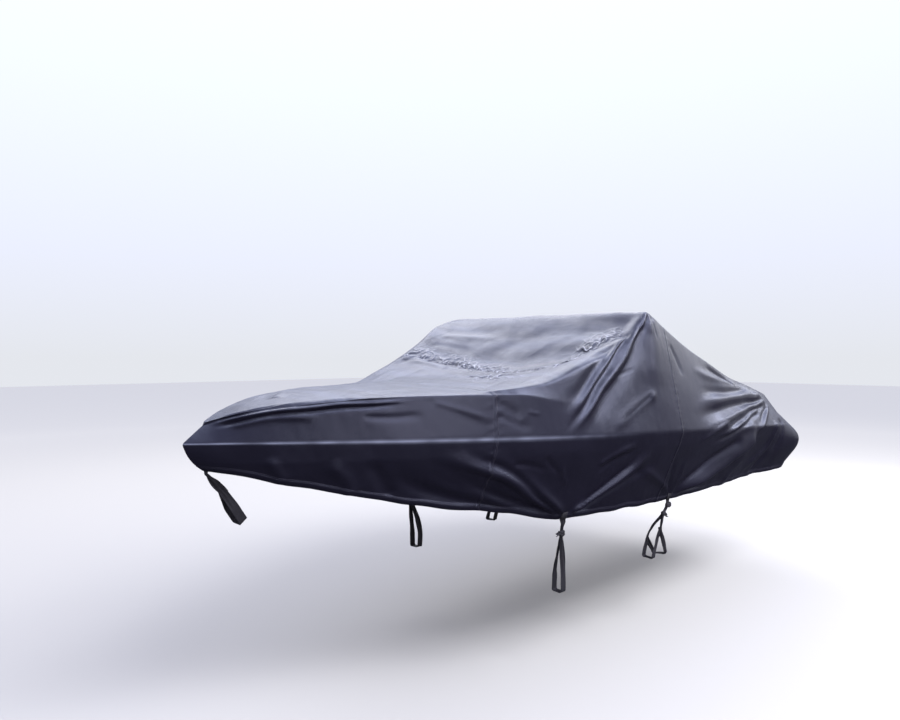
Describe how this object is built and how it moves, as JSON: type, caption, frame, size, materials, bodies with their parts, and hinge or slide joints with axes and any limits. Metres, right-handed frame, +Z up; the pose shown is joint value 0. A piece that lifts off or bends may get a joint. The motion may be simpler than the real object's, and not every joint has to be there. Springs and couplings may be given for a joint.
{
  "type": "fitted boat cover",
  "caption": "Fitted cloth cover for a small open motor boat, sewn from cross panels over a raised support bar and tied down by webbing straps.",
  "frame": {"origin": "on the centreline, at the underside of the top where the boat's support bar carries the cloth", "axes": "+X to the bow, +Y to port, +Z up"},
  "size_m": [4.4513, 1.747, 1.5076],
  "materials": {
    "cover_cloth": "tightly woven polyester with a smooth waterproof coating, half gloss",
    "webbing": "flat woven webbing, matt"
  },
  "bodies": {
    "root": {"panel_bow": "cover_cloth", "panel_mid": "cover_cloth", "panel_stern": "cover_cloth", "strap_bow": "webbing", "strap_port_fore": "webbing", "strap_port_aft": "webbing", "strap_stbd_fore": "webbing", "strap_stbd_aft": "webbing"}
  },
  "joints": []
}
